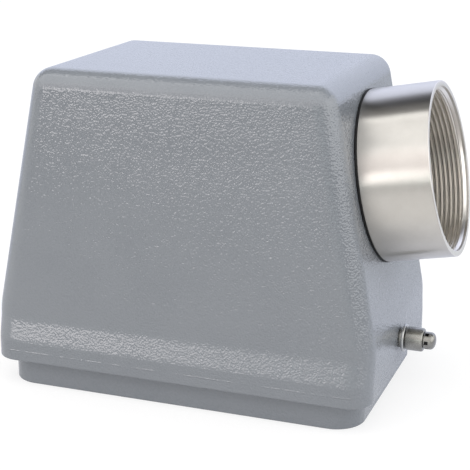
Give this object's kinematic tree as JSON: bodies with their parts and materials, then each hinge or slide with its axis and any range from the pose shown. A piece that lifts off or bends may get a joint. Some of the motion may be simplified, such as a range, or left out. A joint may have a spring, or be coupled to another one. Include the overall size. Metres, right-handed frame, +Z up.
{
  "type": "heavy duty rectangular connector",
  "caption": "Die-cast hood half of a heavy duty rectangular connector, with a threaded side cable entry, roller locking pegs and screw-terminal pin inserts.",
  "frame": {"origin": "centre of the hood's mouth, in the plane of the skirt's lower rim", "axes": "+X towards the side cable entry, +Y to the rear long wall, +Z up from the mouth to the hood's top"},
  "size_m": [0.1535, 0.0808, 0.1021],
  "materials": {
    "hood_paint": "satin",
    "nickel_plate": "satin",
    "seal_rubber": "matte",
    "steel": "satin",
    "zinc_steel": "satin",
    "insert_plastic": "matte",
    "contact_brass": "polished"
  },
  "bodies": {
    "hood": {"hood_shell": "hood_paint", "cable_entry_sleeve": "nickel_plate", "sleeve_seal_ring": "seal_rubber", "peg_pin_left": "steel", "peg_pin_right": "steel", "peg_washer_left": "zinc_steel", "peg_washer_right": "zinc_steel", "peg_cap_left": "steel", "peg_cap_right": "steel", "insert_body_front": "insert_plastic", "insert_body_rear": "insert_plastic", "contact_pins_front": "contact_brass", "contact_pins_rear": "contact_brass", "contact_terminals_front": "contact_brass", "contact_terminals_rear": "contact_brass", "terminal_screws_front": "zinc_steel", "terminal_screws_rear": "zinc_steel", "earth_plate_front_left": "zinc_steel", "earth_plate_front_right": "zinc_steel", "earth_plate_rear_left": "zinc_steel", "earth_plate_rear_right": "zinc_steel", "earth_screws": "zinc_steel", "insert_fixing_screws": "steel"},
    "roller_left": {"peg_roller_left": "steel"},
    "roller_right": {"peg_roller_right": "steel"}
  },
  "joints": [
    {"name": "roller_left_spin", "type": "hinge", "parent": "hood", "child": "roller_left", "pos_m": [-0.067, 0, 0.0177], "axis": [1, 0, 0], "continuous": true},
    {"name": "roller_right_spin", "type": "hinge", "parent": "hood", "child": "roller_right", "pos_m": [0.067, 0, 0.0177], "axis": [1, 0, 0], "continuous": true}
  ]
}
